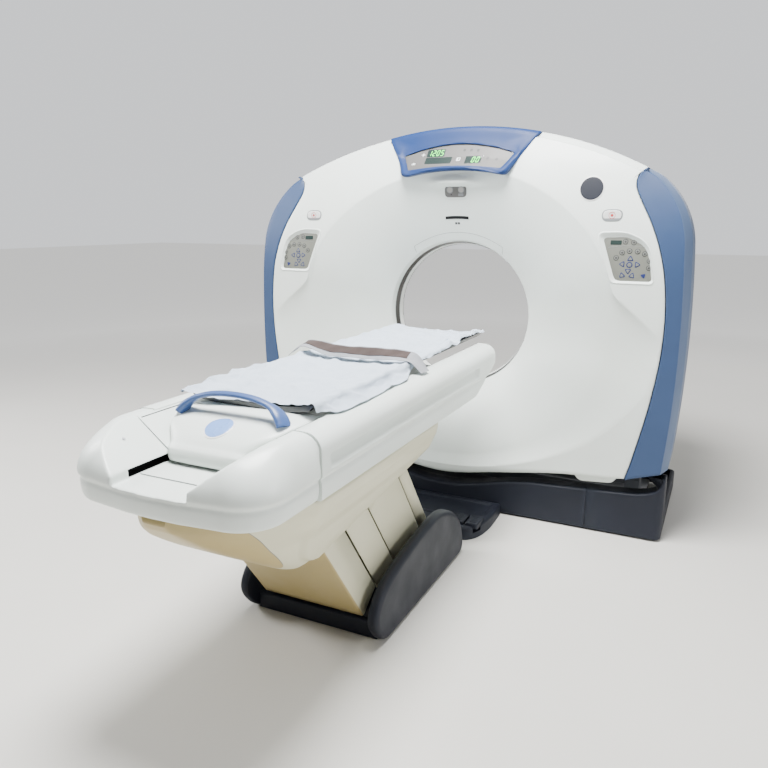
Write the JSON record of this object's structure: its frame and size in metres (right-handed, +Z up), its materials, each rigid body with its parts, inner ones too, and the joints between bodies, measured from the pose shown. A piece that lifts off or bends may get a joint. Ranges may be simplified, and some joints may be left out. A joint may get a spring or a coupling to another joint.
{
  "type": "ct scanner",
  "caption": "Medical CT scanner: tilting ring-shaped gantry with a patient bore on a floor plinth, and a lifting patient table with a sliding cradle, sheet and strap.",
  "frame": {"origin": "on the floor, straight below the point where the scan plane meets the bore axis; the gantry base's underside", "axes": "+Y along the bore axis from the table into the gantry, +Z up, +X to the right when facing the gantry from the table"},
  "size_m": [2.2, 2.9632, 1.89],
  "materials": {
    "cover_white": "satin",
    "wing_grey": "satin",
    "pod_blue": "satin",
    "display_grey": "clear",
    "dark_plastic": "matt",
    "keypad_grey": "matt",
    "stop_red": "satin",
    "film_clear": "satin",
    "belly_tan": "satin",
    "frame_steel": "satin",
    "bearing_steel": "brushed",
    "cast_ring": "machined",
    "slip_brass": "satin",
    "tube_grey": "satin",
    "belt_black": "matt",
    "cradle_black": "woven",
    "slate_plastic": "satin",
    "liner_grey": "satin",
    "handle_blue": "gloss",
    "sheet_cloth": "woven",
    "strap_web": "woven"
  },
  "bodies": {
    "base": {"gantry_base_frame": "frame_steel", "upright_left": "frame_steel", "upright_right": "frame_steel", "trunnion_bearings": "bearing_steel", "tilt_gearmotor": "frame_steel", "plinth_front_cover": "slate_plastic", "plinth_end_left": "slate_plastic", "plinth_end_right": "slate_plastic", "plinth_rear_cover": "slate_plastic", "table_base_frame": "frame_steel", "table_skirt_left": "slate_plastic", "table_skirt_right": "slate_plastic", "kick_bar": "slate_plastic", "pedal_housing": "slate_plastic", "lift_gearmotor": "frame_steel"},
    "pedal_lower": {"pedal_lower": "keypad_grey"},
    "pedal_raise": {"pedal_raise": "keypad_grey"},
    "gantry": {"tilt_frame": "frame_steel", "front_cover": "cover_white", "mylar_window": "film_clear", "bore_liner": "cover_white", "rear_cover": "cover_white", "wing_left": "wing_grey", "wing_right": "wing_grey", "display_pod": "pod_blue", "display_window": "display_grey", "camera_panel": "dark_plastic", "laser_window": "dark_plastic", "keypad_left": "keypad_grey", "keypad_right": "keypad_grey", "main_bearing_outer": "bearing_steel", "drive_motor": "frame_steel", "drive_belt": "belt_black"},
    "stop_left": {"estop_left": "stop_red"},
    "stop_right": {"estop_right": "stop_red"},
    "pulley": {"drive_pulley": "cast_ring"},
    "rotor": {"rotor_ring": "cast_ring", "main_bearing_inner": "bearing_steel", "slip_ring": "slip_brass", "x_ray_tube": "tube_grey", "collimator": "tube_grey", "detector_arc": "tube_grey", "rotor_cabinets": "tube_grey"},
    "lift_arm": {"lift_arm_front": "frame_steel"},
    "rear_arm": {"lift_arm_rear": "frame_steel"},
    "front_cover_link": {"leg_front_cover": "belly_tan"},
    "rear_cover_link": {"leg_rear_cover": "belly_tan"},
    "front_slat_link": {"leg_slats_front": "cover_white"},
    "rear_slat_link": {"leg_slats_rear": "cover_white"},
    "table": {"table_frame": "frame_steel", "belly_shell": "belly_tan", "table_top_shell": "cover_white", "table_end_cap": "cover_white", "channel_liner": "liner_grey"},
    "cradle": {"cradle": "cradle_black", "carriage_cover": "cover_white", "grab_handle": "handle_blue", "sheet": "sheet_cloth", "strap": "strap_web"}
  },
  "joints": [
    {"name": "gantry_tilt", "type": "hinge", "parent": "base", "child": "gantry", "pos_m": [0, 0, 0.977], "axis": [1, 0, 0], "range_deg": [-30, 30]},
    {"name": "rotor_spin", "type": "hinge", "parent": "gantry", "child": "rotor", "pos_m": [0, 0.18, 0.977], "axis": [0, 1, 0], "continuous": true},
    {"name": "pulley_spin", "type": "hinge", "parent": "gantry", "child": "pulley", "pos_m": [0.66, 0.18, 0.377], "axis": [0, 1, 0], "continuous": true},
    {"name": "stop_left_press", "type": "slide", "parent": "gantry", "child": "stop_left", "axis": [0, 1, 0], "range_m": [0, 0.004], "stiffness_N_per_m": 1500, "springref_m": -0.003},
    {"name": "stop_right_press", "type": "slide", "parent": "gantry", "child": "stop_right", "axis": [0, 1, 0], "range_m": [0, 0.004], "stiffness_N_per_m": 1500, "springref_m": -0.003},
    {"name": "pedal_lower_press", "type": "hinge", "parent": "base", "child": "pedal_lower", "pos_m": [0.207, -0.446, 0.052], "axis": [1, 0, 0], "range_deg": [0, 4], "stiffness_Nm_per_rad": 40, "springref_deg": -2.86},
    {"name": "pedal_raise_press", "type": "hinge", "parent": "base", "child": "pedal_raise", "pos_m": [0.277, -0.446, 0.052], "axis": [1, 0, 0], "range_deg": [0, 4], "stiffness_Nm_per_rad": 40, "springref_deg": -2.86},
    {"name": "table_lift", "type": "hinge", "parent": "base", "child": "lift_arm", "pos_m": [0, -1.28, 0.1], "axis": [-1, 0, 0], "range_deg": [-36, 12]},
    {"name": "rear_arm_swing", "type": "hinge", "parent": "base", "child": "rear_arm", "pos_m": [0, -0.96, 0.1], "axis": [-1, 0, 0], "range_deg": [-36, 12]},
    {"name": "front_cover_swing", "type": "hinge", "parent": "base", "child": "front_cover_link", "pos_m": [0, -1.44, 0.08], "axis": [-1, 0, 0], "range_deg": [-36, 12]},
    {"name": "rear_cover_swing", "type": "hinge", "parent": "base", "child": "rear_cover_link", "pos_m": [0, -0.873, 0.2], "axis": [-1, 0, 0], "range_deg": [-36, 12]},
    {"name": "front_slat_swing", "type": "hinge", "parent": "base", "child": "front_slat_link", "pos_m": [0, -1.26, 0.1], "axis": [-1, 0, 0], "range_deg": [-36, 12]},
    {"name": "rear_slat_swing", "type": "hinge", "parent": "base", "child": "rear_slat_link", "pos_m": [0, -1.03, 0.1], "axis": [-1, 0, 0], "range_deg": [-36, 12]},
    {"name": "table_level", "type": "hinge", "parent": "lift_arm", "child": "table", "pos_m": [0, -1.64325, 0.59997], "axis": [-1, 0, 0], "range_deg": [-12, 36]},
    {"name": "cradle_slide", "type": "slide", "parent": "table", "child": "cradle", "axis": [0, 1, 0], "range_m": [-0.06, 1.35]}
  ],
  "couplings": [
    {"joint": "pulley_spin", "follows": "rotor_spin", "ratio": 16},
    {"joint": "rear_arm_swing", "follows": "table_lift", "ratio": 1},
    {"joint": "front_cover_swing", "follows": "table_lift", "ratio": 1},
    {"joint": "rear_cover_swing", "follows": "table_lift", "ratio": 1},
    {"joint": "front_slat_swing", "follows": "table_lift", "ratio": 1},
    {"joint": "rear_slat_swing", "follows": "table_lift", "ratio": 1},
    {"joint": "table_level", "follows": "table_lift", "ratio": -1}
  ]
}
